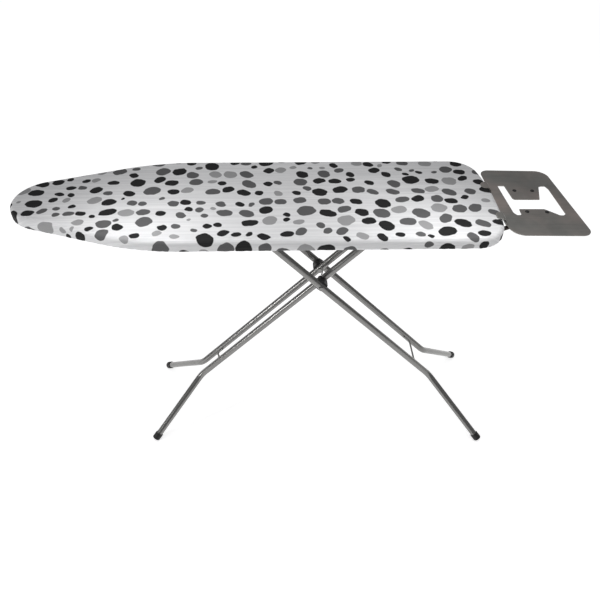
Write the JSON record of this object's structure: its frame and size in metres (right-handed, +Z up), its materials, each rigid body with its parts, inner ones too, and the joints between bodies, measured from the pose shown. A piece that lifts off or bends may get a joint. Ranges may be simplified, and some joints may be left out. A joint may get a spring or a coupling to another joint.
{
  "type": "ironing board",
  "caption": "Folding ironing board with padded dotted fabric cover, scissor legs of round tube with splayed feet, and a steel iron rest with an H-shaped cut-out.",
  "frame": {"origin": "centre of the whole object's footprint box, on the floor", "axes": "+X from the pointed nose to the heel and the iron rest, +Y towards the back edge, +Z up"},
  "size_m": [1.277, 0.3486, 0.7289],
  "materials": {
    "cover_fabric": "white woven cotton with grey and black pebble print",
    "elastic": "braided elastic",
    "felt": "needled felt",
    "frame_steel": "grey powder coat",
    "leg_tube": "grey silk enamel",
    "bright_steel": "zinc plated",
    "foot_plastic": "matte black",
    "black_plastic": "moulded black",
    "rest_steel": "brushed warm grey",
    "black_steel": "black enamel"
  },
  "bodies": {
    "board": {"cover": "cover_fabric", "hem_elastic": "elastic", "felt_pad": "felt", "mesh_top": "frame_steel", "rim_frame": "frame_steel", "cross_rib_1": "frame_steel", "cross_rib_2": "frame_steel", "cross_rib_3": "frame_steel", "cross_rib_4": "frame_steel", "cross_rib_5": "frame_steel", "cross_rib_6": "frame_steel", "rail_front": "frame_steel", "rail_back": "frame_steel", "rail_rivets": "bright_steel", "hinge_bracket_front": "frame_steel", "hinge_bracket_back": "frame_steel", "bracket_rivets": "bright_steel", "lever_bracket": "frame_steel", "lever_pin": "bright_steel", "lever_spring": "bright_steel", "rest_plate": "rest_steel", "rest_hooks": "rest_steel", "rest_studs": "black_plastic", "rest_arm_front": "black_steel", "rest_arm_back": "black_steel", "arm_saddles": "black_steel"},
    "catch_lever": {"catch_strip": "frame_steel", "lever_rod": "bright_steel", "release_grip": "black_plastic"},
    "inner_legs": {"inner_leg_front": "leg_tube", "inner_leg_back": "leg_tube", "top_axle": "bright_steel", "axle_caps": "black_plastic", "inner_brace": "bright_steel", "inner_stay": "bright_steel", "pivot_rivets": "bright_steel", "pivot_saddle_inner": "black_plastic", "inner_foot_front": "foot_plastic", "inner_foot_back": "foot_plastic"},
    "outer_legs": {"outer_leg_front": "leg_tube", "outer_leg_back": "leg_tube", "slide_bar": "bright_steel", "slide_rollers": "black_plastic", "outer_brace": "bright_steel", "pivot_saddle_outer": "black_plastic", "outer_foot_front": "foot_plastic", "outer_foot_back": "foot_plastic"}
  },
  "joints": [
    {"name": "leg_fold", "type": "hinge", "parent": "board", "child": "inner_legs", "pos_m": [0.23353, 0, 0.677], "axis": [0, 1, 0], "range_deg": [-13.6, 43.4]},
    {"name": "scissor_pivot", "type": "hinge", "parent": "inner_legs", "child": "outer_legs", "pos_m": [0.06307, 0, 0.498], "axis": [0, 1, 0], "range_deg": [-86.8, 27.2]},
    {"name": "catch_release", "type": "hinge", "parent": "board", "child": "catch_lever", "pos_m": [-0.30653, 0, 0.69], "axis": [0, -1, 0], "range_deg": [0, 2], "stiffness_Nm_per_rad": 20, "springref_deg": -2.86, "deforming": ["lever_spring"]}
  ],
  "couplings": [
    {"joint": "scissor_pivot", "follows": "leg_fold", "ratio": -2}
  ]
}
